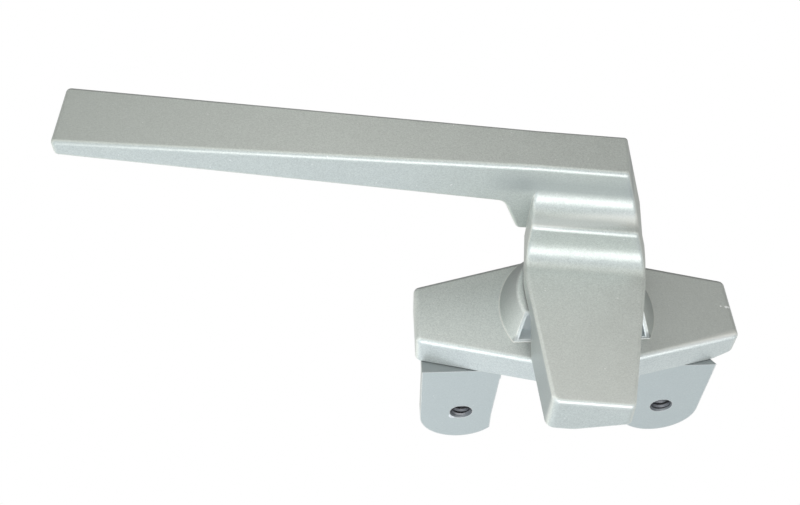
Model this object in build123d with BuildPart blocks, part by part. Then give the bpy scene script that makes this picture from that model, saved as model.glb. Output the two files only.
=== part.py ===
"""Cam handle for a casement window: a lever that pivots on a cast base plate, with a
two-legged angle bracket behind the plate that is screwed to the sash.

Frame: millimetres, +Z up, the room is towards -Y and the window towards +Y. The origin is
midway between the two tapped holes, on the underside of the bracket's legs.
"""
import os
from math import radians, tan

from build123d import *

# Mounting bracket, a piece of extruded angle with a gap punched between its two legs
screw_spacing = 41.3
screw_setback = 15.1
thread_core = 4.0
thread_mouth = 4.6
bracket_wall = 3.0
bracket_length = 57.4
bracket_shift = -0.2
bracket_height = 14.4
bracket_root_round = 0.8
leg_gap = 27.1
leg_gap_mouth = 28.8
leg_nose_radius = 8.1
leg_nose_offset = 1.55
corner_relief = 1.2
corner_relief_height = 1.6
notch_margin = 1.0

# Base plate, a hollow casting with a long six-sided outline
plate_length = 61.9
plate_end_over = 6.6
plate_end_under = 6.4
plate_mid_over = 14.9
plate_mid_under = 13.65
plate_end_skew = 0.35
plate_depth = 6.7
plate_wall = 2.4
plate_web = 3.0
plate_end_radius = 1.3
plate_mid_radius = 14.0
plate_face_round = 1.0
plate_back_round = 0.4
plate_trim_length = 4.6
plate_trim_depth = 1.9
plate_above_seat = 8.8
plate_shift = 0.9
pivot_shift = 0.3
pivot_rise = 0.4

# Boss on the plate's face, a blunt cone with its lower side cut off straight
boss_diameter = 30.0
boss_height = 5.6
boss_draft = 28.0
boss_flat = 7.4
boss_round = 0.5
boss_pocket_wall = 0.7
boss_pocket_floor = 0.5
boss_pocket_depth = 2.6

# Two posts cast on the plate's back and riveted over through the bracket
post_spacing = 40.0
post_diameter = 8.0
tenon_diameter = 4.8
tenon_clearance = 0.1
rivet_diameter = 7.4
rivet_height = 1.4

# Lever, one casting, drawn about its pivot and turned by its lean
lean = 7.0
arm_reach = 97.65
arm_end = 6.1
arm_level = 16.4
arm_tip_level = 15.85
arm_tip_width = 14.9
arm_tip_slant = 1.4
arm_root_width = 10.1
arm_face = 26.1
arm_tip_depth = 3.45
arm_root_depth = 11.35
arm_round = 0.9
arm_tip_round = 1.0

# Web that runs from the back of the arm down to the hub
web_start = 15.9
web_foot = 12.9
web_round = 1.2
web_hollow = 2.0

# Stepped hub and tapering nose of the lever
step_face = 16.7
nose_face = 9.1
step_edge = 5.35
step_hollow = 3.6
step_round = 0.9
hub_left = 10.85
hub_right = 11.7
hub_side_round = 0.7
neck_top = 12.2
nose_length = 26.65
nose_left = 5.7
nose_right = 8.4
nose_left_shoulder = 20.0
nose_right_shoulder = 7.0
nose_left_round = 1.8
nose_right_round = 1.2
side_draft = 2.0

# Back of the nose: a flat land, and a cam ramp that takes hold of the frame's keeper
land_height = 0.75
ramp_start = 1.1
ramp_slope = 17.5
ramp_round = 5.0

# Pivot: a steel stud cast into the lever, and the washers behind the plate
pad_diameter = 16.0
pad_height = 0.6
pocket_clearance = 0.5
stud_diameter = 6.35
stud_clearance = 0.05
stud_grip = 0.02
stud_head_diameter = 9.0
stud_head_height = 1.4
stud_tail_diameter = 4.6
stake_diameter = 6.2
stake_height = 1.0
spring_diameter = 12.4
spring_thickness = 0.4
spring_height = 0.9
spring_clearance = 0.3
spring_gap = 0.05
tail_washer_diameter = 13.0
tail_washer_thickness = 1.0
tail_clearance = 0.05

# Places that follow from the sizes above
plate_face_y = -screw_setback - plate_depth
hub_back = boss_height + pad_height
stud_seat = hub_back + pad_height
stud_shoulder = -plate_web - spring_height - spring_gap
stake_seat = stud_shoulder - tail_washer_thickness
face_plane = Plane(origin=(plate_shift, plate_face_y, plate_above_seat), x_dir=(1, 0, 0), z_dir=(0, -1, 0))
pivot_plane = Plane(
    origin=(plate_shift + pivot_shift, plate_face_y, plate_above_seat + pivot_rise),
    x_dir=(1, 0, 0),
    z_dir=(0, -1, 0),
)
flange_plane = face_plane.offset(-plate_depth)
lever_seat = pivot_plane.location * Rotation(0, 0, -lean)


def plate_outline(inset=0.0):
    """Outline of the base plate, or the same outline drawn in by the inset."""
    end = plate_length / 2
    with BuildSketch() as outline:
        Polygon(
            (end, -plate_end_under - plate_end_skew),
            (end, plate_end_over),
            (0, plate_mid_over),
            (-end, plate_end_over),
            (-end, -plate_end_under + plate_end_skew),
            (0, -plate_mid_under),
            align=None,
        )
        fillet(outline.vertices().filter_by(lambda v: abs(v.X) < plate_end_radius), plate_mid_radius)
        fillet(outline.vertices().filter_by(lambda v: abs(v.X) > end - plate_end_radius), plate_end_radius)
        if inset:
            offset(amount=-inset, mode=Mode.REPLACE)
    return outline.sketch


def boss_outline():
    """Foot of the boss: a circle about the pivot with its lower side cut off."""
    with BuildSketch() as outline:
        with Locations((pivot_shift, pivot_rise)):
            Circle(boss_diameter / 2)
        with Locations((pivot_shift, pivot_rise - boss_flat)):
            Rectangle(boss_diameter, boss_diameter, align=(Align.CENTER, Align.MAX), mode=Mode.SUBTRACT)
    return outline.sketch


def arm_back(reach):
    """Height of the arm's back at a distance along it, measured from the pivot to the right."""
    share = (reach + arm_reach) / (arm_end + arm_reach)
    return arm_face - arm_tip_depth - share * (arm_root_depth - arm_tip_depth)


# Mounting bracket
with BuildPart() as mounting_bracket:
    with BuildSketch(Plane.XZ.offset(screw_setback - bracket_wall)):
        Polygon(
            (bracket_shift - bracket_length / 2, 0),
            (bracket_shift + bracket_length / 2, 0),
            (bracket_shift + bracket_length / 2, bracket_height),
            (bracket_shift - bracket_length / 2, bracket_height),
            align=None,
        )
        Rectangle(leg_gap, 2 * (bracket_wall + notch_margin), mode=Mode.SUBTRACT)
        with Locations(
            (plate_shift - post_spacing / 2, plate_above_seat),
            (plate_shift + post_spacing / 2, plate_above_seat),
        ):
            Circle(tenon_diameter / 2 + tenon_clearance, mode=Mode.SUBTRACT)
    extrude(amount=bracket_wall)
    for side in (-1, 1):
        leg_end = bracket_shift + side * bracket_length / 2
        with BuildSketch():
            Polygon(
                (0, -screw_setback),
                (leg_end, -screw_setback),
                (leg_end, leg_nose_offset),
                (0, leg_nose_offset),
                align=None,
            )
            with Locations((leg_end - side * leg_nose_radius, leg_nose_offset)):
                Circle(leg_nose_radius)
            Polygon(
                (0, -screw_setback),
                (side * leg_gap / 2, -screw_setback),
                (side * leg_gap_mouth / 2, leg_nose_offset),
                (side * leg_gap_mouth / 2, 2 * leg_nose_radius),
                (0, 2 * leg_nose_radius),
                align=None,
                mode=Mode.SUBTRACT,
            )
            with Locations((side * screw_spacing / 2, 0)):
                Circle(thread_core / 2, mode=Mode.SUBTRACT)
        extrude(amount=bracket_wall)
    inner_y = -screw_setback + bracket_wall
    roots = mounting_bracket.edges().filter_by(Axis.X).filter_by(
        lambda e: abs(e.center().Y - inner_y) < 0.01 and abs(e.center().Z - bracket_wall) < 0.01
    )
    fillet(roots, bracket_root_round)
    mouths = mounting_bracket.edges().filter_by(GeomType.CIRCLE).filter_by(
        lambda e: abs(e.radius - thread_core / 2) < 0.01 and e.center().Z < 0.01
    )
    chamfer(mouths, (thread_mouth - thread_core) / 2)
    right_end = bracket_shift + bracket_length / 2
    with BuildSketch(Plane.XZ.offset(screw_setback - bracket_wall)):
        Polygon(
            (right_end, 0),
            (right_end, bracket_height),
            (right_end - corner_relief, bracket_height),
            (right_end - corner_relief, corner_relief_height),
            align=None,
        )
    extrude(amount=bracket_wall, mode=Mode.SUBTRACT)
mounting_bracket.part.label = "mounting_bracket"

# Boss, kept inside the plate's outline
with BuildPart() as boss:
    with BuildSketch(face_plane.offset(-plate_face_round)):
        add(boss_outline())
    extrude(amount=plate_face_round)
    with BuildSketch(face_plane):
        add(boss_outline())
    extrude(amount=boss_height, taper=boss_draft)
    fillet(boss.edges().filter_by(lambda e: e.center().Y < plate_face_y - boss_height + 0.01), boss_round)
    with BuildSketch(flange_plane):
        add(plate_outline())
    extrude(amount=plate_depth + boss_height, mode=Mode.INTERSECT)

# Pocket that opens in the boss's straight lower side and leaves a thin wall
pocket_foot = boss_diameter / 2 - boss_pocket_wall - boss_pocket_floor * tan(radians(boss_draft))
with BuildPart() as boss_pocket:
    with BuildSketch(face_plane.offset(boss_pocket_floor)):
        with Locations((pivot_shift, pivot_rise)):
            Circle(pocket_foot)
    extrude(amount=boss_height - boss_pocket_wall - boss_pocket_floor, taper=boss_draft)
    with BuildSketch(face_plane):
        with Locations((pivot_shift, pivot_rise - boss_flat)):
            Rectangle(boss_diameter, 2 * boss_pocket_depth)
    extrude(amount=boss_height, mode=Mode.INTERSECT)

# Base plate
with BuildPart() as base_plate:
    with BuildSketch(flange_plane):
        add(plate_outline())
    extrude(amount=plate_depth)
    with BuildSketch():
        Polygon(
            (plate_shift + plate_length / 2 - plate_trim_length, -screw_setback),
            (plate_shift + plate_length / 2, -screw_setback - plate_trim_depth),
            (plate_shift + plate_length / 2, -screw_setback),
            align=None,
        )
    extrude(amount=4 * plate_mid_over, both=True, mode=Mode.SUBTRACT)
    face_rim = base_plate.edges().filter_by(lambda e: abs(e.center().Y - plate_face_y) < 0.01)
    fillet(face_rim, plate_face_round)
    back_rim = base_plate.edges().filter_by(lambda e: abs(e.center().Y + screw_setback) < 0.01)
    fillet(back_rim, plate_back_round)
    with BuildSketch(flange_plane):
        add(plate_outline(plate_wall))
    extrude(amount=plate_depth - plate_web, mode=Mode.SUBTRACT)
    add(boss.part)
    add(boss_pocket.part, mode=Mode.SUBTRACT)
    with BuildSketch(flange_plane):
        with Locations((-post_spacing / 2, 0), (post_spacing / 2, 0)):
            Circle(post_diameter / 2)
    extrude(amount=plate_depth - plate_web)
    with BuildSketch(flange_plane.offset(-bracket_wall)):
        with Locations((-post_spacing / 2, 0), (post_spacing / 2, 0)):
            Circle(tenon_diameter / 2)
    extrude(amount=bracket_wall)
    with BuildSketch(flange_plane.offset(-bracket_wall)):
        with Locations((-post_spacing / 2, 0), (post_spacing / 2, 0)):
            Circle(rivet_diameter / 2)
    extrude(amount=-rivet_height)
    rivet_rims = base_plate.edges().filter_by(
        lambda e: abs(e.center().Y - bracket_wall - rivet_height + screw_setback) < 0.01
    )
    fillet(rivet_rims, rivet_height / 2)
    with BuildSketch(pivot_plane.offset(-plate_web)):
        Circle(stud_diameter / 2 + stud_clearance)
    extrude(amount=plate_web + boss_height, mode=Mode.SUBTRACT)
base_plate.part.label = "base_plate"

# The lever is drawn flat: X runs along it, Y is up and Z is the height above the plate's face
arm_under = arm_level - arm_root_width / 2
arm_over = arm_level + arm_root_width / 2
foot_flare = nose_face * tan(radians(side_draft))
nose_spread = (hub_right - nose_right) / (nose_length + foot_flare)
end_slope = (hub_right - arm_end) / (arm_face - nose_face)

# Arm with its web
with BuildPart() as arm:
    with BuildSketch(Plane.XZ):
        with BuildLine():
            Polyline(
                (-arm_reach - arm_tip_slant, arm_face),
                (-arm_reach - arm_tip_slant, arm_back(-arm_reach - arm_tip_slant)),
                (-web_start, arm_back(-web_start)),
                (-web_foot, nose_face),
                (0, nose_face),
                (0, arm_face),
                close=True,
            )
        make_face()
        fillet(vertices().sort_by_distance((-web_start, arm_back(-web_start)))[0], web_hollow)
        fillet(vertices().sort_by_distance((-web_foot, nose_face))[0], web_round)
    extrude(amount=2 * arm_level, both=True)
    with BuildSketch():
        with BuildLine():
            Polyline(
                (-arm_reach, arm_tip_level - arm_tip_width / 2),
                (-hub_left, arm_under),
                (0, arm_under),
                (0, arm_over),
                (-hub_left, arm_over),
                (-arm_reach - arm_tip_slant, arm_tip_level + arm_tip_width / 2),
                close=True,
            )
        make_face()
    extrude(amount=2 * arm_face, mode=Mode.INTERSECT)
    tip = arm.edges().filter_by(Axis.Z).filter_by(lambda e: e.center().X < 1 - arm_reach)
    fillet(tip, arm_tip_round)
    face_edges = arm.edges().filter_by(lambda e: abs(e.center().Z - arm_face) < 0.01 and e.center().X < -0.1)
    fillet(face_edges, arm_round)
    back_edges = arm.edges().filter_by(
        lambda e: e.center().X < -web_start - 1 and e.center().Z < arm_back(e.center().X) + 0.01
    )
    fillet(back_edges, arm_round)


def on_hub_outline(edge):
    """Whether an edge is one of those that run round the hub's face, from step to step."""
    middle = edge.center()
    beside = middle.X < -hub_left + 1.4 or middle.X > arm_end - 0.2
    if middle.Y > step_edge - step_hollow:
        on_top = middle.Y > arm_over - 0.1 and middle.Z < arm_face - arm_round
        return beside and middle.Z > nose_face + 0.1 and not on_top
    around = abs(middle.X) > nose_left - 2 or middle.Y < step_edge - nose_length
    return around and abs(middle.Z - nose_face) < 0.05


# Hub and nose: a wedge in front view, cut to the steps that its side view shows
with BuildPart() as hub:
    with BuildSketch():
        with BuildLine():
            Polyline(
                (-nose_left - foot_flare, -nose_length - foot_flare),
                (nose_right + foot_flare, -nose_length - foot_flare),
                (hub_right + foot_flare + nose_spread * 2 * arm_level, 2 * arm_level),
                (-hub_left - foot_flare, 2 * arm_level),
                (-hub_left - foot_flare, 0),
                close=True,
            )
        make_face()
        fillet(vertices().sort_by_distance((-hub_left - foot_flare, 0))[0], nose_left_shoulder)
    extrude(amount=arm_face, taper=side_draft)
    with BuildSketch(Plane.XZ):
        Polygon(
            (-2 * hub_left, 0),
            (hub_right + end_slope * nose_face, 0),
            (arm_end, arm_face),
            (-2 * hub_left, arm_face),
            align=None,
        )
    extrude(amount=2 * nose_length, both=True, mode=Mode.INTERSECT)
    with BuildSketch(Plane.YZ):
        with BuildLine():
            Polyline(
                (-2 * nose_length, 0),
                (-2 * nose_length, nose_face),
                (step_edge, nose_face),
                (step_edge, step_face),
                (arm_under, step_face),
                (arm_under, arm_face),
                (arm_over, arm_face),
                (arm_over, nose_face),
                (neck_top, nose_face),
                (neck_top, hub_back),
                (0, hub_back),
                (0, 0),
                close=True,
            )
        make_face()
        fillet(vertices().sort_by_distance((step_edge, nose_face))[0], step_hollow)
        fillet(vertices().sort_by_distance((step_edge, step_face))[0], step_round)
        fillet(vertices().sort_by_distance((arm_under, step_face))[0], step_hollow)
        fillet(vertices().sort_by_distance((arm_under, arm_face))[0], step_round)
        fillet(vertices().sort_by_distance((arm_over, arm_face))[0], step_round)
    extrude(amount=2 * hub_right, both=True, mode=Mode.INTERSECT)
    fillet(hub.edges().sort_by_distance((-nose_left, -nose_length, nose_face / 2))[0], nose_left_round)
    fillet(hub.edges().sort_by_distance((nose_right, -nose_length, nose_face / 2))[0], nose_right_round)
    fillet(hub.edges().sort_by_distance((hub_right + end_slope, 2.5, nose_face - 1))[0], nose_right_shoulder)
    fillet(hub.edges().filter_by(on_hub_outline), hub_side_round)

# Lever
with BuildPart() as lever_drawn:
    add(hub.part)
    add(arm.part)
    with BuildSketch(Plane.XZ):
        with BuildLine():
            Polyline(
                (-2 * hub_left, -1),
                (-2 * hub_left, land_height),
                (-ramp_start, land_height),
                (2 * hub_right, land_height + (ramp_start + 2 * hub_right) * tan(radians(ramp_slope))),
                (2 * hub_right, -1),
                close=True,
            )
        make_face()
        fillet(vertices().sort_by_distance((-ramp_start, land_height))[0], ramp_round)
    extrude(amount=2 * nose_length, mode=Mode.SUBTRACT)
    with BuildSketch():
        Circle(boss_diameter / 2 + pocket_clearance)
    extrude(amount=hub_back, taper=boss_draft, mode=Mode.SUBTRACT)
    with BuildSketch(Plane.XY.offset(boss_height)):
        Circle(pad_diameter / 2)
    extrude(amount=stud_seat - boss_height)
    with BuildSketch(Plane.XY.offset(boss_height)):
        Circle(stud_diameter / 2 + stud_grip)
    extrude(amount=stud_seat - boss_height, mode=Mode.SUBTRACT)
    with BuildSketch(Plane.XY.offset(stud_seat)):
        Circle(stud_head_diameter / 2 + stud_grip)
    extrude(amount=stud_head_height, mode=Mode.SUBTRACT)
with BuildPart() as lever:
    add(lever_drawn.part.moved(lever_seat))
lever.part.label = "lever"

# Stud, with its head held in the lever and its tail staked over the tail washer
with BuildPart() as pivot_stud:
    with BuildSketch(pivot_plane.offset(stud_seat)):
        Circle(stud_head_diameter / 2)
    extrude(amount=stud_head_height)
    with BuildSketch(pivot_plane.offset(stud_shoulder)):
        Circle(stud_diameter / 2)
    extrude(amount=stud_seat - stud_shoulder)
    with BuildSketch(pivot_plane.offset(stake_seat)):
        Circle(stud_tail_diameter / 2)
    extrude(amount=tail_washer_thickness)
    with BuildSketch(pivot_plane.offset(stake_seat)):
        Circle(stake_diameter / 2)
    extrude(amount=-stake_height)
    fillet(pivot_stud.edges().sort_by(Axis.Y)[-1], stake_height / 2)
pivot_stud.part.label = "pivot_stud"

# Tail washer
with BuildPart() as tail_washer:
    with BuildSketch(pivot_plane.offset(stake_seat)):
        Circle(tail_washer_diameter / 2)
        Circle(stud_tail_diameter / 2 + tail_clearance, mode=Mode.SUBTRACT)
    extrude(amount=tail_washer_thickness)
tail_washer.part.label = "tail_washer"

# Spring washer, a shallow cone whose rim bears on the web behind the boss
rim_radius = spring_diameter / 2
bore_radius = stud_diameter / 2 + spring_clearance
with BuildPart() as spring_washer:
    with BuildSketch(Plane(pivot_plane.origin, x_dir=(1, 0, 0), z_dir=(0, 0, 1))):
        Polygon(
            (rim_radius, plate_web),
            (rim_radius, plate_web + spring_thickness),
            (bore_radius, plate_web + spring_height),
            (bore_radius, plate_web + spring_height - spring_thickness),
            align=None,
        )
    revolve(axis=Axis(pivot_plane.origin, (0, 1, 0)))
spring_washer.part.label = "spring_washer"

os.makedirs("parts", exist_ok=True)
export_step(lever.part, "parts/lever.step")
export_step(pivot_stud.part, "parts/pivot_stud.step")
export_step(base_plate.part, "parts/base_plate.step")
export_step(mounting_bracket.part, "parts/mounting_bracket.step")
export_step(spring_washer.part, "parts/spring_washer.step")
export_step(tail_washer.part, "parts/tail_washer.step")
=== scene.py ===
# %% [markdown]
# # Cam handle for a casement window
# A cast lever turns on a six-sided cast plate, and an aluminium angle behind the plate is
# screwed to the sash. The photograph looks up at the handle from below and a little from
# the left. All lengths in this script are metres, in the frame that the solids were drawn in:
# +X along the plate, +Z up, and the room towards -Y.

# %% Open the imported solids
import math

import bpy
import numpy as np
from mathutils import Matrix, Vector


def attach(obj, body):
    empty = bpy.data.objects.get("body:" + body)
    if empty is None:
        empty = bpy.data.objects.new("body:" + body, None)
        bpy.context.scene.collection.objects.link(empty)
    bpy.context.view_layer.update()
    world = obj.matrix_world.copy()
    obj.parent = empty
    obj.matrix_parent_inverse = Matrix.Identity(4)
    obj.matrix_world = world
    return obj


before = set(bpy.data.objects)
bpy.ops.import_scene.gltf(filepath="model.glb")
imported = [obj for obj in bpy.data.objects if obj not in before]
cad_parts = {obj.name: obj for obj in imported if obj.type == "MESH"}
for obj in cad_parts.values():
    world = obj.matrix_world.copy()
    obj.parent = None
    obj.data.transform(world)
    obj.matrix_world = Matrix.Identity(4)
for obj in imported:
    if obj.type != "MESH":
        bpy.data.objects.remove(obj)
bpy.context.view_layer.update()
print("solids:", ", ".join(sorted(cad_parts)))

# %% [markdown]
# ## Camera
# A camera is a place, a direction and a lens. It could be moved by eye until the picture
# looks right, but here all of it is worked out from the photograph: the straight edges of
# the plate, whose shape is known, give the place and the turn, and the way near and far ends
# differ in size gives the lens. The roll is the small tilt of the picture, and the shift is
# the bit that the picture was cropped off centre.

# %% Lens
PICTURE_WIDTH = 800
PICTURE_HEIGHT = 505
FOCAL_PIXELS = 1004.62
CENTRE_PIXEL = (461.08, 260.02)
camera_data = bpy.data.cameras.new("camera")
camera = bpy.data.objects.new("camera", camera_data)
bpy.context.collection.objects.link(camera)
bpy.context.scene.camera = camera
camera_data.sensor_width = 36.0
camera_data.lens = FOCAL_PIXELS / PICTURE_WIDTH * camera_data.sensor_width
camera_data.shift_x = (PICTURE_WIDTH / 2 - CENTRE_PIXEL[0]) / PICTURE_WIDTH
camera_data.shift_y = (CENTRE_PIXEL[1] - PICTURE_HEIGHT / 2) / PICTURE_WIDTH
camera_data.clip_start = 0.01
camera_data.clip_end = 10.0
print("lens: %.1f mm" % camera_data.lens)

# %% Place of the camera
CAMERA_PLACE = (-0.037091, -0.176871, -0.103418)
CAMERA_TURN = math.radians(-6.171)
CAMERA_RISE = math.radians(38.770)
CAMERA_ROLL = math.radians(-4.941)
camera.matrix_world = (
    Matrix.Translation(CAMERA_PLACE)
    @ Matrix.Rotation(CAMERA_TURN, 4, "Z")
    @ Matrix.Rotation(math.pi / 2 + CAMERA_RISE, 4, "X")
    @ Matrix.Rotation(CAMERA_ROLL, 4, "Z")
)
print("camera: %.0f mm from the plate" % (1000 * Vector(CAMERA_PLACE).length))

# %% [markdown]
# ## Helpers for nodes
# Every finish below is a tree of nodes. Setting them up one line at a time is long, so one
# helper makes a node with all its settings. A setting may be a property, a plain value for an
# input, or the output of another node, which is then linked. Another does one step of sums.


# %% Node helpers
def feed(tree, socket, value):
    """Link an input to another node's output, or set it to a number or a colour."""
    if isinstance(value, bpy.types.NodeSocket):
        tree.links.new(value, socket)
    elif socket.type == "RGBA":
        socket.default_value = (*value, 1)
    else:
        socket.default_value = value


def add(tree, kind, **settings):
    """A node of a kind; underscores in the name of an input stand for spaces."""
    node = tree.nodes.new(kind)
    for key, value in settings.items():
        if hasattr(node, key):
            setattr(node, key, value)
        else:
            feed(tree, node.inputs[key.replace("_", " ")], value)
    return node


def worked(tree, operation, *terms):
    """The result of one arithmetic step on outputs and plain numbers."""
    node = add(tree, "ShaderNodeMath", operation=operation)
    for socket, term in zip(node.inputs, terms):
        feed(tree, socket, term)
    return node.outputs[0]


print("node helpers: feed, add, worked")

# %% [markdown]
# ## Floor
# The handle was photographed on its own against white. The floor is a wide pale disc well
# below it, plain enough to keep the handle's shadow. Silver paint is half a mirror, and what
# its undersides mirror is the floor. A real studio floor is lit far brighter than the handle,
# so rays that leave a glossy surface find a bluish white there, a little dimmer to the right,
# and the camera itself finds the floor a little paler than the lamps would make it.

# %% Floor material
FLOOR_MIRRORED = 1.16
FLOOR_MIRRORED_RIGHT = 0.65 * FLOOR_MIRRORED
FLOOR_LIFT = 0.45
floor_material = bpy.data.materials.new("pale floor")
floor_material.use_nodes = True
tree = floor_material.node_tree
ray = add(tree, "ShaderNodeLightPath")
spot = add(tree, "ShaderNodeTexCoord")
across = add(tree, "ShaderNodeSeparateXYZ", Vector=spot.outputs["Object"])
fade = add(tree, "ShaderNodeMapRange", Value=across.outputs["X"], From_Min=-0.35, From_Max=0.25,
           To_Min=FLOOR_MIRRORED, To_Max=FLOOR_MIRRORED_RIGHT)
mirrored = add(tree, "ShaderNodeEmission", Color=(0.872, 0.950, 1.012),
               Strength=fade.outputs["Result"])
matt = tree.nodes["Principled BSDF"]
feed(tree, matt.inputs["Base Color"], (0.85, 0.85, 0.85))
feed(tree, matt.inputs["Roughness"], 0.8)
feed(tree, matt.inputs["Emission Color"], (1, 1, 1))
lift = worked(tree, "MULTIPLY", ray.outputs["Is Camera Ray"], FLOOR_LIFT)
feed(tree, matt.inputs["Emission Strength"], lift)
either = add(tree, "ShaderNodeMixShader", Fac=ray.outputs["Is Glossy Ray"])
feed(tree, either.inputs[1], matt.outputs[0])
feed(tree, either.inputs[2], mirrored.outputs[0])
feed(tree, tree.nodes["Material Output"].inputs["Surface"], either.outputs[0])
print("floor material:", len(tree.nodes), "nodes")

# %% Floor disc
FLOOR_HEIGHT = -0.30
FLOOR_RADIUS = 1.5
FLOOR_CORNERS = 64
angles = np.linspace(0, 2 * np.pi, FLOOR_CORNERS, endpoint=False)
heights = np.full(FLOOR_CORNERS, FLOOR_HEIGHT)
rim = np.stack([FLOOR_RADIUS * np.cos(angles), FLOOR_RADIUS * np.sin(angles), heights], axis=1)
floor_mesh = bpy.data.meshes.new("floor")
floor_mesh.from_pydata(rim.tolist(), [], [list(range(FLOOR_CORNERS))])
floor_mesh.materials.append(floor_material)
floor = bpy.data.objects.new("floor", floor_mesh)
bpy.context.collection.objects.link(floor)
print("floor: %.1f m wide, %.2f m below the holes" % (2 * FLOOR_RADIUS, -FLOOR_HEIGHT))

# %% [markdown]
# ## Sky
# The sky is white where the camera looks at it. All other rays find a soft room instead:
# bright near the horizon, most of all on the left, and dark straight above. This is what
# gives the satin paint its broad bands of light. It could also be a picture of a room wrapped
# round the scene, but two smooth gradients are enough and need no file.

# %% Sky gradients
world = bpy.data.worlds.new("sky")
bpy.context.scene.world = world
world.use_nodes = True
sky = world.node_tree
sky.nodes.clear()
direction = add(sky, "ShaderNodeTexCoord")
axes = add(sky, "ShaderNodeSeparateXYZ", Vector=direction.outputs["Generated"]).outputs
rise = add(sky, "ShaderNodeMapRange", Value=axes["Z"], From_Min=0.0, From_Max=0.9)
side = add(sky, "ShaderNodeMapRange", Value=axes["X"], From_Min=-0.5, From_Max=0.5,
           To_Min=1.55, To_Max=0.94)
tint = add(sky, "ShaderNodeMix", data_type="RGBA", A=(0.99, 1.0, 0.96), B=(0.12, 0.12, 0.12),
           Factor=rise.outputs["Result"])
around = add(sky, "ShaderNodeBackground", Color=tint.outputs["Result"],
             Strength=side.outputs["Result"])
backdrop = add(sky, "ShaderNodeBackground", Color=(1, 1, 1), Strength=1.0)
ray = add(sky, "ShaderNodeLightPath")
either = add(sky, "ShaderNodeMixShader", Fac=ray.outputs["Is Camera Ray"])
feed(sky, either.inputs[1], around.outputs[0])
feed(sky, either.inputs[2], backdrop.outputs[0])
add(sky, "ShaderNodeOutputWorld", Surface=either.outputs[0])
print("sky:", len(sky.nodes), "nodes")

# %% [markdown]
# ## Lamps
# Two large soft lamps do the rest. One lies low in front and lights the undersides that the
# photograph looks at. A weaker one stands up in the room and fills the fronts. Small lamps
# would give hard little glints, which satin paint in a soft tent doesn't have.


# %% Lamps
def lamp(name, place, towards, size, power, colour):
    """A soft rectangular lamp of a width and depth at a place, facing a point."""
    data = bpy.data.lights.new(name, "AREA")
    data.shape = "RECTANGLE"
    data.size, data.size_y = size
    data.energy = power
    data.color = colour
    light = bpy.data.objects.new(name, data)
    bpy.context.collection.objects.link(light)
    light.location = place
    light.rotation_euler = (Vector(towards) - Vector(place)).to_track_quat("-Z", "Y").to_euler()
    light.visible_camera = False
    print("%s: %.2f W" % (name, power))


MIDDLE = (-0.02, -0.03, 0.01)
lamp("key light", (0.0, -0.10, -0.27), MIDDLE, (0.45, 0.22), 0.50, (1.0, 0.985, 0.955))
lamp("room light", (-0.12, -0.58, 0.42), MIDDLE, (0.35, 0.35), 0.20, (1.0, 0.99, 0.95))
bpy.context.scene.view_settings.view_transform = "Standard"

# %% [markdown]
# ## Three effects that the finishes share
# The castings and the angle are sprayed with silver paint. Close up it looks like very fine
# sand: metal flakes about a fifth of a millimetre wide, each a little lighter or darker and
# tilted a little differently. An image of paint could be laid on, but it would need seams, so
# the effects are worked out in object coordinates, which don't slide when the lever turns.
# Each effect is a group, because several materials use it with values of their own. The
# first one is the flakes: cells, each with one random colour, and a little noise over them.


# %% Flake group
def new_group(name, given, made):
    """An empty node group: its inputs with their usual values, and its outputs."""
    group = bpy.data.node_groups.new(name, "ShaderNodeTree")
    for title, value in given.items():
        socket = group.interface.new_socket(title, in_out="INPUT", socket_type="NodeSocketFloat")
        socket.default_value = value
    for title in made:
        group.interface.new_socket(title, in_out="OUTPUT", socket_type="NodeSocketFloat")
    start, end = group.nodes.new("NodeGroupInput"), group.nodes.new("NodeGroupOutput")
    print("group %s:" % name, ", ".join(given), "->", ", ".join(made))
    return group, start.outputs, end.inputs


FLAKE = 0.00017
GRAIN_IN_FLAKES = 2.2
flakes, given, made = new_group("flakes", {"Flakes per metre": 1 / FLAKE}, ["Tone", "Height"])
place = add(flakes, "ShaderNodeTexCoord").outputs["Object"]
cells = add(flakes, "ShaderNodeTexVoronoi", Vector=place, Scale=given["Flakes per metre"])
parts = add(flakes, "ShaderNodeSeparateColor", Color=cells.outputs["Color"]).outputs
grains_per_metre = worked(flakes, "DIVIDE", given["Flakes per metre"], GRAIN_IN_FLAKES)
grain = add(flakes, "ShaderNodeTexNoise", Vector=place, Scale=grains_per_metre, Detail=2.0,
            Roughness=0.6)
feed(flakes, made["Tone"], worked(flakes, "ADD", parts["Red"], grain.outputs["Fac"]))
feed(flakes, made["Height"], worked(flakes, "ADD", parts["Green"], grain.outputs["Fac"]))

# %% [markdown]
# The second effect is what spraying leaves: slow clouds, where the coat is thicker or
# thinner, and rare pale flecks. Both are noise, one of them cut off so that only its peaks
# are left.

# %% Cloud group
CLOUDS_PER_METRE = 220.0
FLECKS_PER_METRE = 1500.0
usual = {"Clouds per metre": CLOUDS_PER_METRE, "Flecks per metre": FLECKS_PER_METRE}
clouds, given, made = new_group("clouds", usual, ["Cloud", "Fleck"])
place = add(clouds, "ShaderNodeTexCoord").outputs["Object"]
slow = add(clouds, "ShaderNodeTexNoise", Vector=place, Scale=given["Clouds per metre"], Detail=3.0,
           Roughness=0.55, Distortion=0.4)
quick = add(clouds, "ShaderNodeTexNoise", Vector=place, Scale=given["Flecks per metre"], Detail=1.0)
peaks = add(clouds, "ShaderNodeMapRange", Value=quick.outputs["Fac"], From_Min=0.74, From_Max=0.82)
feed(clouds, made["Cloud"], slow.outputs["Fac"])
feed(clouds, made["Fleck"], peaks.outputs["Result"])
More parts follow.
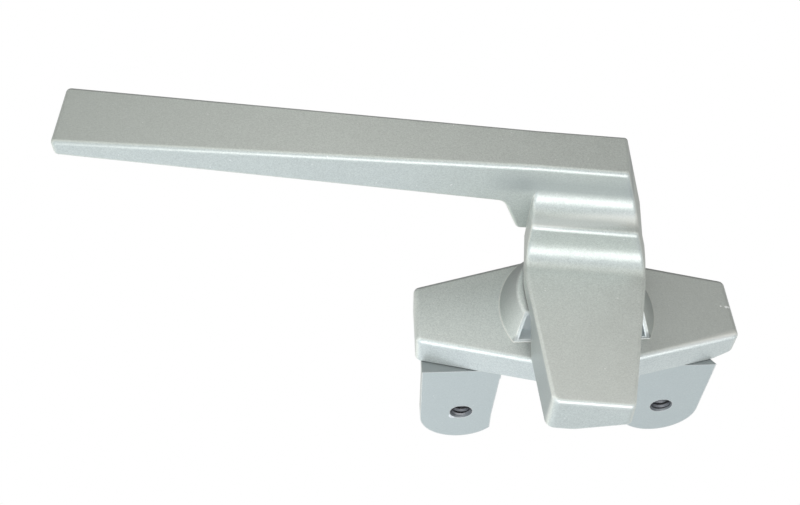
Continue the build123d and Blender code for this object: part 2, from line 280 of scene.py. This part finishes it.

# %% [markdown]
# The third effect finds edges and corners. A sharp edge gets a pale thin coat of paint,
# which is partly real and partly a painted highlight, and where walls meet the colour is
# darkened, which is a little dust and mostly painted shade. An edge is where a rounded normal
# and the true one disagree, and a corner is where nearby walls hide much of the surroundings.
# Both follow the shape by themselves, so nothing has to be painted by hand.

# %% Edge and corner group
ROUNDING = 0.0004
CORNER_REACH = 0.004
usual = {"Rounding": ROUNDING, "Corner Reach": CORNER_REACH}
edges, given, made = new_group("edges and corners", usual, ["Edge", "Corner"])
rounded = add(edges, "ShaderNodeBevel", samples=6, Radius=given["Rounding"])
straight = add(edges, "ShaderNodeNewGeometry")
agree = add(edges, "ShaderNodeVectorMath", operation="DOT_PRODUCT")
feed(edges, agree.inputs[0], rounded.outputs["Normal"])
feed(edges, agree.inputs[1], straight.outputs["Normal"])
edge = add(edges, "ShaderNodeMapRange", Value=agree.outputs["Value"], From_Min=0.995, From_Max=0.90)
# Corner: ambient occlusion, which drives the painted shade in corners
hidden = add(edges, "ShaderNodeAmbientOcclusion", samples=8, Distance=given["Corner Reach"])
corner = add(edges, "ShaderNodeMapRange", Value=hidden.outputs["AO"], From_Min=0.55, From_Max=0.10)
feed(edges, made["Edge"], edge.outputs["Result"])
feed(edges, made["Corner"], corner.outputs["Result"])

# %% [markdown]
# ## Satin silver paint
# Lever, plate and angle have the same kind of coat in slightly different tones. The flakes
# pick a colour between a dark and a light one, and the clouds change the gloss. Edges get a
# bright thin coat, which is partly a painted highlight, and corners a little dust and painted
# shade. The flakes also make a very shallow bump, so that each one catches the light for
# itself. The paint is three quarters metal, because the flakes are aluminium and the lacquer
# between them isn't.

# %% Paint
METAL_SHARE = 0.75
CLOUD_SHARE = 0.35
# Pale edge coat, partly a painted highlight; dark corner colour, a little dust and mostly painted
# shade
EDGE_COAT_AND_HIGHLIGHT = (0.93, 0.91, 0.87)
CORNER_DUST_AND_SHADE = (0.22, 0.24, 0.25)
FLECK_COAT = (0.86, 0.87, 0.86)


def laid(tree, below, above, mask, kind="RGBA"):
    """What is below, and above it another colour or number where the mask says."""
    mix = add(tree, "ShaderNodeMix", data_type=kind, A=below, B=above, Factor=mask)
    return mix.outputs["Result"]


def painted(name, dark, light, rough_low, rough_high, grain_depth):
    """Silver paint: flakes between two colours, clouds in the gloss, and a sandy bump."""
    material = bpy.data.materials.new(name)
    material.use_nodes = True
    tree = material.node_tree
    flake = add(tree, "ShaderNodeGroup", node_tree=flakes, Flakes_per_metre=1 / FLAKE).outputs
    cloud = add(tree, "ShaderNodeGroup", node_tree=clouds,
                Clouds_per_metre=CLOUDS_PER_METRE).outputs
    ends = add(tree, "ShaderNodeGroup", node_tree=edges, Rounding=ROUNDING).outputs
    tone = worked(tree, "MULTIPLY_ADD", cloud["Cloud"], CLOUD_SHARE, flake["Tone"])
    ramp = add(tree, "ShaderNodeMapRange", Value=tone, From_Min=0.2, From_Max=1.9)
    colour = laid(tree, dark, light, ramp.outputs["Result"])
    colour = laid(tree, colour, FLECK_COAT, cloud["Fleck"])
    # Painted highlight on the edges and painted shade in the corners
    colour = laid(tree, colour, EDGE_COAT_AND_HIGHLIGHT, ends["Edge"])
    colour = laid(tree, colour, CORNER_DUST_AND_SHADE, ends["Corner"])
    gloss = add(tree, "ShaderNodeMapRange", Value=cloud["Cloud"], From_Min=0.3, From_Max=0.7,
                To_Min=rough_low, To_Max=rough_high)
    bump = add(tree, "ShaderNodeBump", Strength=0.35, Distance=grain_depth, Height=flake["Height"])
    shader = tree.nodes["Principled BSDF"].inputs
    feed(tree, shader["Base Color"], colour)
    feed(tree, shader["Roughness"], gloss.outputs["Result"])
    feed(tree, shader["Normal"], bump.outputs["Normal"])
    feed(tree, shader["Metallic"], METAL_SHARE)
    print("%s: roughness %.2f to %.2f" % (name, rough_low, rough_high))
    return material


CAST_GRAIN = 0.00004
ROLLED_GRAIN = 0.00002
lever_paint = painted("lever paint", (0.51, 0.54, 0.52), (0.70, 0.735, 0.71),
                      0.36, 0.44, CAST_GRAIN)
plate_paint = painted("plate paint", (0.57, 0.605, 0.595), (0.79, 0.825, 0.805),
                      0.36, 0.44, CAST_GRAIN)
bracket_paint = painted("bracket paint", (0.57, 0.611, 0.602), (0.645, 0.69, 0.682),
                        0.32, 0.37, ROLLED_GRAIN)

# %% [markdown]
# ## Masks
# Wear, painted shade and painted highlights sit at known places, so each is a mask: 1 inside
# the place, 0 outside it, with a soft border. A mask could be painted by hand on the mesh, but
# a mask that is worked out from the distance to a line or along an axis stays sharp at any
# size, and its numbers are the ones in the drawing.


# %% Mask helpers
def position(tree, source="Object"):
    """The X, Y and Z of a point, or with Normal, of the way that the surface faces."""
    spot = add(tree, "ShaderNodeTexCoord")
    return add(tree, "ShaderNodeSeparateXYZ", Vector=spot.outputs[source]).outputs


def inside(tree, value, low, high):
    """1 where a value is under low, 0 where it is over high."""
    return add(tree, "ShaderNodeMapRange", Value=value, From_Min=low, From_Max=high,
               To_Min=1.0, To_Max=0.0).outputs["Result"]


def along(tree, axis, start, end):
    """0 at start and 1 at end, measured along an axis of the frame."""
    step = add(tree, "ShaderNodeMapRange", Value=position(tree)[axis], From_Min=start, From_Max=end)
    return step.outputs["Result"]


def all_of(tree, *masks):
    """The product of masks."""
    whole = masks[0]
    for mask in masks[1:]:
        whole = worked(tree, "MULTIPLY", whole, mask)
    return whole


def ring_distance(tree, centre, mirrored=False, axis="Z"):
    """Distance from a line through a centre, along Z or Y; mirrored takes both sides of X."""
    at = position(tree)
    across = worked(tree, "ABSOLUTE", at["X"]) if mirrored else at["X"]
    flat = add(tree, "ShaderNodeCombineXYZ", X=across, Y=at["Y" if axis == "Z" else "Z"])
    away = add(tree, "ShaderNodeVectorMath", operation="DISTANCE")
    feed(tree, away.inputs[0], flat.outputs[0])
    feed(tree, away.inputs[1], (*centre, 0))
    return away.outputs["Value"]


print("mask helpers: position, inside, along, all_of, ring_distance")

# %% [markdown]
# Each place is laid over the finished paint with its own colour and gloss, and a share, so
# that most of the paint below still shows through it.


# %% Laying over
def lay_over(material, colour, roughness, mask_of, share=1.0):
    """Another colour and gloss on top of a finished material, where a mask made in it says."""
    tree = material.node_tree
    mask = mask_of(tree)
    if share < 1:
        mask = worked(tree, "MULTIPLY", mask, share)
    shader = tree.nodes["Principled BSDF"].inputs
    below = shader["Base Color"].links[0].from_socket
    feed(tree, shader["Base Color"], laid(tree, below, colour, mask))
    below = shader["Roughness"].links[0].from_socket
    feed(tree, shader["Roughness"], laid(tree, below, roughness, mask, "FLOAT"))
    print("%s: %s, share %.2f" % (material.name, mask_of.__name__.replace("_", " "), share))


def wear(node, material):
    """The material in place of a solid's own."""
    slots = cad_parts[node].data.materials
    slots.clear()
    slots.append(material)
    print(node, "wears", material.name)


# %% [markdown]
# ## Places on the lever
# The end of the arm is painted greyer, which is painted shade. The front of the nose is painted
# lighter towards its end, which is a painted highlight, and the narrow face between the hub's
# steps is painted lighter. The nose's left side and the foot of the upper step are painted
# dark, which is painted shade.


# %% Masks of the lever
def nose_front_highlight(tree):
    """The front of the nose, painted lighter towards its end, which is a painted highlight."""
    return all_of(tree, along(tree, "Z", 0.008, -0.020), along(tree, "Y", -0.0296, -0.0303))


def arm_tip_shade(tree):
    """The front of the arm's end, painted a little greyer, which is painted shade."""
    return all_of(tree, along(tree, "X", -0.045, -0.095), along(tree, "Y", -0.0470, -0.0476))


def nose_wall_shade(tree):
    """The nose's left side, painted dark, which is painted shade."""
    left = inside(tree, position(tree, "Normal")["X"], -0.97, -0.80)
    return all_of(tree, left, along(tree, "Z", 0.010, 0.004), along(tree, "Z", -0.020, -0.016))


def riser_foot_shade(tree):
    """The foot of the hub's upper step, up to the hollow below it, painted dark as painted shade.
    """
    off_arm = along(tree, "Y", -0.0475, -0.0440)
    off_hollow = along(tree, "Y", -0.0408, -0.0424)
    return all_of(tree, off_arm, off_hollow, along(tree, "Z", 0.0180, 0.0190),
                  along(tree, "X", -0.018, -0.010))


def step_face_lighter(tree):
    """The narrow face between the hub's two steps, painted lighter."""
    face = all_of(tree, along(tree, "Y", -0.0396, -0.0390), along(tree, "Y", -0.0376, -0.0382))
    return all_of(tree, face, along(tree, "Z", 0.0150, 0.0160), along(tree, "Z", 0.0190, 0.0178))


# %% Finish the lever
# Painted highlight on the nose's front; painted shade on the arm's end, the nose's left side and
# the step's foot
lay_over(lever_paint, (0.86, 0.875, 0.85), 0.40, nose_front_highlight, 0.45)
lay_over(lever_paint, (0.42, 0.45, 0.43), 0.42, arm_tip_shade, 0.45)
lay_over(lever_paint, (0.38, 0.41, 0.42), 0.42, nose_wall_shade, 0.62)
lay_over(lever_paint, (0.38, 0.415, 0.42), 0.42, riser_foot_shade, 0.60)
lay_over(lever_paint, (0.90, 0.90, 0.88), 0.42, step_face_lighter, 0.55)
wear("lever", lever_paint)

# %% [markdown]
# ## Places on the plate
# The right half of the plate's face is painted a little greyer, which is painted shade, with a
# pale band along its lower edge, which is a painted highlight. The boss's steep flank is painted
# dark as painted shade, and a pocket opens downwards behind the nose, whose inside is pale and
# whose cut frame is painted dark as the nose's shade.

# %% Lines that the plate's masks are measured from
PIVOT = (0.0012, 0.0092)
PLATE_FACE = -0.0218
BOSS_TOP = PLATE_FACE - 0.0056
BOSS_SLOPE = math.tan(math.radians(28))
EDGE_SLOPE = 0.2672
EDGE_LEVEL = -0.00610
print("boss: %.1f mm high" % (1000 * (PLATE_FACE - BOSS_TOP)))


# %% Masks of the plate
def plate_right_shade(tree):
    """The right half of the plate's face, painted a little greyer, which is painted shade."""
    return all_of(tree, along(tree, "X", 0.008, 0.014), along(tree, "Y", -0.0214, -0.0217))


def lower_right_highlight(tree):
    """Painted highlight along the plate's lower right edge: height less a slope times x is under a
    limit.
    """
    at = position(tree)
    above = worked(tree, "MULTIPLY_ADD", at["X"], -EDGE_SLOPE, at["Z"])
    band = inside(tree, above, EDGE_LEVEL + 0.0002, EDGE_LEVEL + 0.0015)
    return all_of(tree, band, along(tree, "X", 0.008, 0.014), along(tree, "Y", -0.0214, -0.0217))


def boss_flank_shade(tree):
    """The cone's steep side, most of all its upper part, painted dark as painted shade."""
    off_plate = along(tree, "Y", PLATE_FACE - 0.0001, PLATE_FACE - 0.0004)
    off_top = along(tree, "Y", BOSS_TOP, BOSS_TOP + 0.0006)
    return all_of(tree, off_plate, off_top, along(tree, "Z", -0.001, 0.010))


# %% Masks of the pocket
def pocket_rim(tree):
    """The cut frame round the pocket in the boss, painted dark as the nose's shade."""
    off_plate = along(tree, "Y", PLATE_FACE - 0.00005, PLATE_FACE - 0.00020)
    off_top = along(tree, "Y", BOSS_TOP, BOSS_TOP + 0.0006)
    return all_of(tree, along(tree, "Z", 0.0026, 0.0022), off_plate, off_top)


def pocket_rim_right(tree):
    """The right half of that frame, painted darker still as deeper shade."""
    return all_of(tree, pocket_rim(tree), along(tree, "X", 0.001, 0.004))


def boss_pocket(tree):
    """Inside the cone's wall, where distance plus sloping height is under a limit, above the
    flat and off the floor."""
    away = ring_distance(tree, PIVOT, axis="Y")
    cone = worked(tree, "MULTIPLY_ADD", position(tree)["Y"], -BOSS_SLOPE, PLATE_FACE * BOSS_SLOPE)
    wall = inside(tree, worked(tree, "ADD", away, cone), 0.0144, 0.0146)
    return all_of(tree, wall, along(tree, "Z", 0.0047, 0.0045), along(tree, "Z", 0.00185, 0.0022),
                  along(tree, "Y", -0.0221, -0.0222))


# %% [markdown]
# Two rivet heads behind the angle are the plate's own posts, spun over after painting, and
# are bright. On the plate's right end two small chips of paint are missing. A chip is a round
# spot whose radius is made uneven by noise.

# %% Masks of the rivet heads and the chips
BACK_OF_ANGLE = -0.0121
CHIPS = [(0.02968, 0.00905, 0.00018), (0.03075, 0.00882, 0.00030), (0.03120, 0.00878, 0.00026)]
RAGGED = 0.0005


def rivet_heads(tree):
    """Everything of the plate's posts that stands out behind the angle."""
    return along(tree, "Y", BACK_OF_ANGLE - 0.0001, BACK_OF_ANGLE)


def chips(tree):
    """Ragged spots on the plate's face: distance + noise is under each radius."""
    spot = add(tree, "ShaderNodeTexCoord").outputs["Object"]
    noise = add(tree, "ShaderNodeTexNoise", Vector=spot, Scale=5000.0, Detail=2.0).outputs["Fac"]
    whole = None
    for across, up, radius in CHIPS:
        away = ring_distance(tree, (across, up), axis="Y")
        uneven = worked(tree, "MULTIPLY_ADD", noise, RAGGED, away)
        mask = inside(tree, uneven, radius + 0.0002, radius + 0.00028)
        whole = mask if whole is None else worked(tree, "MAXIMUM", whole, mask)
    return whole


# %% Finish the plate
# Painted shade on the plate's right half, the pocket's frame and the boss's flank; a painted
# highlight along the lower right edge
lay_over(plate_paint, (0.40, 0.415, 0.395), 0.42, plate_right_shade, 0.52)
lay_over(plate_paint, (0.34, 0.36, 0.36), 0.45, pocket_rim, 0.75)
lay_over(plate_paint, (0.17, 0.18, 0.18), 0.50, pocket_rim_right, 0.75)
lay_over(plate_paint, (0.92, 0.90, 0.87), 0.42, lower_right_highlight, 0.70)
lay_over(plate_paint, (0.30, 0.33, 0.33), 0.42, boss_flank_shade, 0.55)
lay_over(plate_paint, (0.76, 0.80, 0.81), 0.55, boss_pocket)
lay_over(plate_paint, (0.74, 0.74, 0.72), 0.30, rivet_heads)
lay_over(plate_paint, (0.93, 0.94, 0.94), 0.55, chips)
wear("base_plate", plate_paint)

# %% [markdown]
# ## Places on the angle
# The tapped holes were cut after painting; their mouths and threads are painted dark, which is
# painted shade in the holes. The angle's front face under the plate is painted dark too, which
# is painted shade.

# %% Finish the angle
HOLE_CENTRE = (0.02065, 0.0)


def hole_mouth_shade(tree):
    """A disc a little wider than each tapped hole, painted dark as the shade in it."""
    return inside(tree, ring_distance(tree, HOLE_CENTRE, mirrored=True), 0.00226, 0.00232)


def under_the_plate_shade(tree):
    """The angle's front face under the plate, painted dark as painted shade."""
    return along(tree, "Y", -0.01503, -0.01509)


# Painted shade on the angle's front under the plate and in the mouths of the tapped holes
lay_over(bracket_paint, (0.33, 0.355, 0.36), 0.50, under_the_plate_shade)
lay_over(bracket_paint, (0.16, 0.17, 0.18), 0.40, hole_mouth_shade)
wear("mounting_bracket", bracket_paint)

# %% [markdown]
# ## Bare metal parts
# The stud was turned, so its end has fine rings about its own axis. The washer under the
# stake is zinc plated and slightly cloudy, and the spring washer is dark oiled steel with
# rolling marks. All are one recipe with a different pattern: the pattern drives colour, gloss
# and a fine bump together, as it does on real metal, where a groove is duller and darker.


# %% Metal recipe
def metal(name, dark, light, rough_low, rough_high, pattern_of, bump_depth):
    """Bare metal whose colour, gloss and fine bump follow one pattern from 0 to 1."""
    material = bpy.data.materials.new(name)
    material.use_nodes = True
    tree = material.node_tree
    pattern = pattern_of(tree)
    cloud = add(tree, "ShaderNodeGroup", node_tree=clouds,
                Clouds_per_metre=CLOUDS_PER_METRE).outputs
    tone = worked(tree, "MULTIPLY_ADD", cloud["Cloud"], 0.5, pattern)
    ramp = add(tree, "ShaderNodeMapRange", Value=tone, From_Min=0.4, From_Max=1.1)
    gloss = add(tree, "ShaderNodeMapRange", Value=pattern, From_Min=0.3, From_Max=0.7,
                To_Min=rough_low, To_Max=rough_high)
    bump = add(tree, "ShaderNodeBump", Strength=0.4, Distance=bump_depth, Height=pattern)
    shader = tree.nodes["Principled BSDF"].inputs
    feed(tree, shader["Base Color"], laid(tree, dark, light, ramp.outputs["Result"]))
    feed(tree, shader["Roughness"], gloss.outputs["Result"])
    feed(tree, shader["Normal"], bump.outputs["Normal"])
    feed(tree, shader["Metallic"], 1.0)
    print("%s: roughness %.2f to %.2f" % (name, rough_low, rough_high))
    return material


# %% Patterns of the metals
def turned(tree):
    """Rings about the pivot's axis, four to the millimetre."""
    away = ring_distance(tree, PIVOT, axis="Y")
    rings = add(tree, "ShaderNodeTexNoise", noise_dimensions="1D", W=away, Scale=4000.0, Detail=2.0)
    return rings.outputs["Fac"]


def mottled(tree):
    """The small cloudy crystals of zinc plating."""
    spot = add(tree, "ShaderNodeTexCoord").outputs["Object"]
    crystals = add(tree, "ShaderNodeTexNoise", Vector=spot, Scale=2500.0, Detail=4.0, Roughness=0.7)
    return crystals.outputs["Fac"]


def rolled(tree):
    """Fine straight marks along the strip that the washer was punched from."""
    spot = add(tree, "ShaderNodeTexCoord").outputs["Object"]
    stretched = add(tree, "ShaderNodeMapping", Vector=spot, Scale=(200, 6000, 6000)).outputs[0]
    return add(tree, "ShaderNodeTexNoise", Vector=stretched, Scale=1.0, Detail=3.0).outputs["Fac"]


# %% Finish the metal parts
RING_DEPTH = 0.00002
CRYSTAL_DEPTH = 0.00001
turned_steel = metal("turned steel", (0.42, 0.41, 0.40), (0.62, 0.61, 0.59),
                     0.24, 0.40, turned, RING_DEPTH)
zinc_plate = metal("zinc plate", (0.55, 0.56, 0.57), (0.72, 0.73, 0.72),
                   0.28, 0.42, mottled, CRYSTAL_DEPTH)
spring_steel = metal("spring steel", (0.16, 0.17, 0.19), (0.30, 0.31, 0.33),
                     0.30, 0.45, rolled, CRYSTAL_DEPTH)
wear("pivot_stud", turned_steel)
wear("tail_washer", zinc_plate)
wear("spring_washer", spring_steel)

# %% [markdown]
# ## Threads in the tapped holes
# The solids have smooth bores at the thread's core. A tap leaves a helical groove. It could
# be cut from the solid, but a cut helix is slow and fragile, so it is drawn as a thin sleeve
# inside each bore: a grid of points round the bore and up it, whose radius goes in and out
# with the thread. The groove fades in at the mouth, as a tap's first turn does.


# %% Surface from a grid of points
def round_hole(centre, radius, angle, height):
    """Points at a radius, an angle and a height round a hole's centre."""
    across = centre[0] + radius * np.cos(angle)
    deep = centre[1] + radius * np.sin(angle)
    return np.stack([across, deep, height], axis=-1)


def surface(name, points, closed, material):
    """A smooth piece from a grid of points; a closed grid joins its last column to its first."""
    rows, columns = points.shape[:2]
    low = np.arange(rows - 1)[:, None] * columns
    left = np.arange(columns if closed else columns - 1)[None, :]
    high, right = low + columns, (left + 1) % columns
    faces = np.stack([low + left, high + left, high + right, low + right], axis=-1).reshape(-1, 4)
    mesh = bpy.data.meshes.new(name)
    mesh.from_pydata(points.reshape(-1, 3).tolist(), [], faces.tolist())
    mesh.shade_smooth()
    mesh.materials.append(material)
    piece = bpy.data.objects.new(name, mesh)
    bpy.context.collection.objects.link(piece)
    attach(piece, "base")
    print(name, "has", len(faces), "faces")


# %% [markdown]
# The tap has torn up a small burr beside the left hole. It is coloured bright, which is partly
# bare metal and partly a painted highlight where the hole's mouth catches the light. It is a bent
# strip that swells in its middle and dies out at its ends and sides, where it sinks a hundredth
# of a millimetre into the angle, so it needs no cut there.

# %% Burr
BURR_MIDDLE = math.radians(138)
BURR_HALF = math.radians(20)
BURR_SUNK = 0.00001
# Bright torn metal, partly a painted highlight
torn_edge_and_glint = metal("torn edge and glint", (0.78, 0.79, 0.80), (0.92, 0.93, 0.93),
                  0.35, 0.5, mottled, CRYSTAL_DEPTH)


def burr(name, centre, inner, outer, height):
    """A lip beside a hole, u round it and v across it: how far it stands out is its height times
    the sine of each, and how wide it is swells by a sine from its ends to its middle."""
    u, v = np.meshgrid(np.linspace(0, 1, 24), np.linspace(0, 1, 10), indexing="ij")
    angle = BURR_MIDDLE + (2 * u - 1) * BURR_HALF
    radius = inner + (outer - inner) * v * np.sin(np.pi * (0.1 + 0.8 * u))
    z = BURR_SUNK - height * np.sin(np.pi * u) * np.sin(np.pi * v)
    surface(name, round_hole(centre, radius, angle, z), False, torn_edge_and_glint)


burr("burr_left", (-HOLE_CENTRE[0], 0.0), 0.00232, 0.00300, 0.00022)

# %% [markdown]
# The sleeve's formula: at height z and angle a, the radius falls from the root to the crest
# by the triangle wave of z / pitch - a / full turn, so that one turn round the bore climbs by
# one pitch.

# %% Thread sleeves
PITCH = 0.00106
ROOT_RADIUS = 0.00199
CREST_RADIUS = 0.00166
SLEEVE_LOW = 0.00030
SLEEVE_HIGH = 0.00296
FADE_IN = 0.3 * PITCH
# The thread's metal is nearly black, which is painted shade inside the holes
cut_thread = metal("cut thread", (0.10, 0.10, 0.11), (0.26, 0.26, 0.27),
                   0.30, 0.45, mottled, CRYSTAL_DEPTH)


def thread_sleeve(name, centre, turn):
    """A sleeve whose radius is the root, less the groove's depth times a triangle wave of the
    height over the pitch less the angle over a full turn, faded in at the mouth."""
    heights = np.linspace(SLEEVE_LOW, SLEEVE_HIGH, 100)
    around = np.linspace(0, 2 * np.pi, 96, endpoint=False)
    z, a = np.meshgrid(heights, around, indexing="ij")
    phase = (z / PITCH - a / (2 * np.pi) + turn) % 1.0
    wave = np.clip(1.15 * (1 - np.abs(2 * phase - 1)), 0, 1)
    fade = np.clip((z - SLEEVE_LOW) / FADE_IN, 0, 1)
    radius = ROOT_RADIUS - (ROOT_RADIUS - CREST_RADIUS) * fade * wave
    surface(name, round_hole(centre, radius, a, z), True, cut_thread)


thread_sleeve("thread_left", (-HOLE_CENTRE[0], 0.0), 0.1)
thread_sleeve("thread_right", (HOLE_CENTRE[0], 0.0), 0.6)
